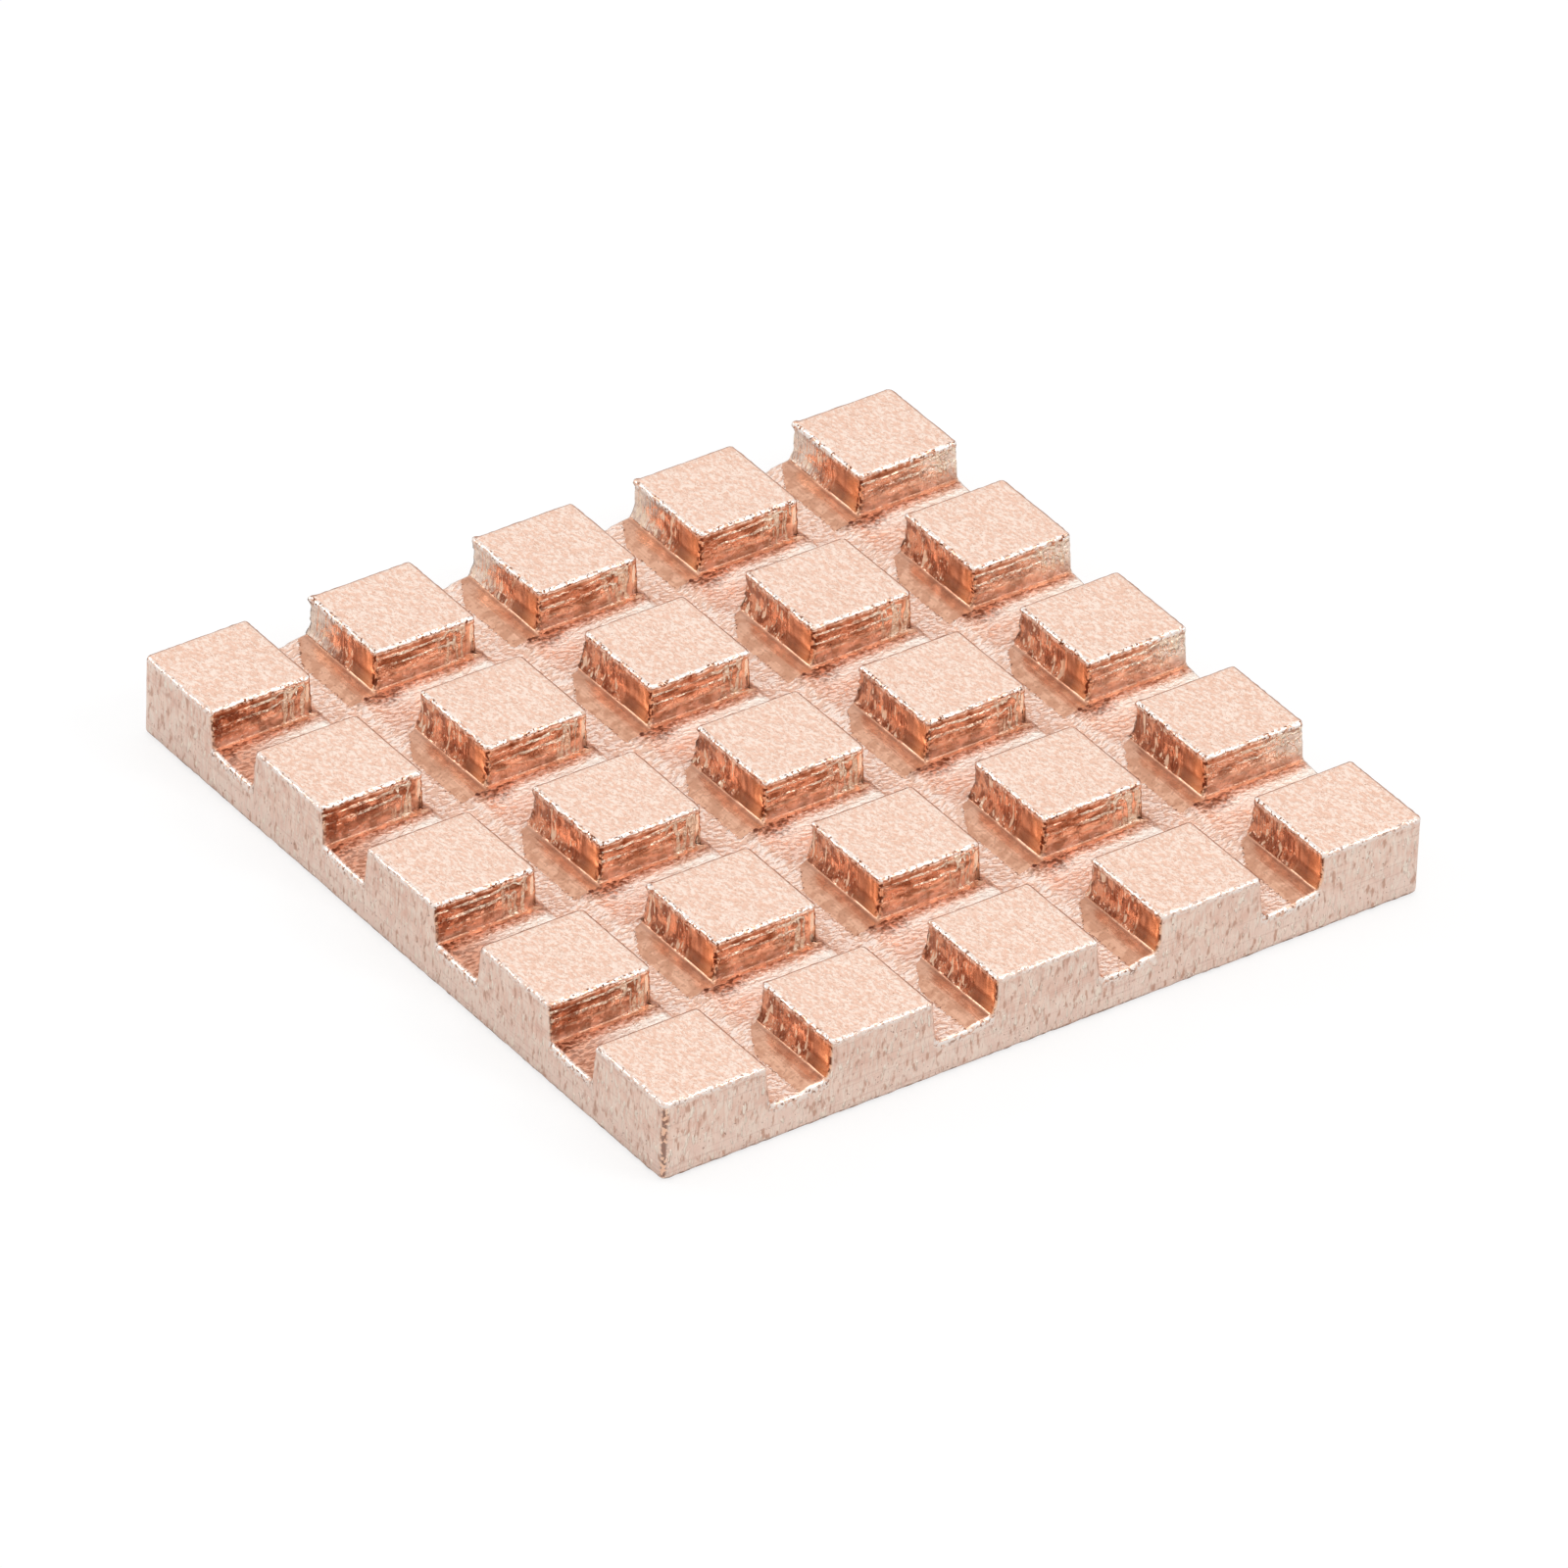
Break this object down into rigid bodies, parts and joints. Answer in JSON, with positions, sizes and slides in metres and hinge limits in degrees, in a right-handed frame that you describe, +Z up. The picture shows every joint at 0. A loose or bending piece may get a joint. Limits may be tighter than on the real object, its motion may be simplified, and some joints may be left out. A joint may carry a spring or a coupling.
{
  "type": "pin fin heat sink",
  "caption": "Low square heat sink in solid copper: a thin base with a grid of square pins, left by slots sawn across it both ways",
  "frame": {"origin": "middle of the underside", "axes": "+Z up through the pins; +X and +Y along the two rows of slots"},
  "size_m": [0.015, 0.015, 0.0015],
  "materials": {
    "copper": "bare pale copper, sawn and deburred, satin on the tops and sides and brighter inside the slots"
  },
  "bodies": {
    "root": {"heat_sink": "copper"}
  },
  "joints": []
}
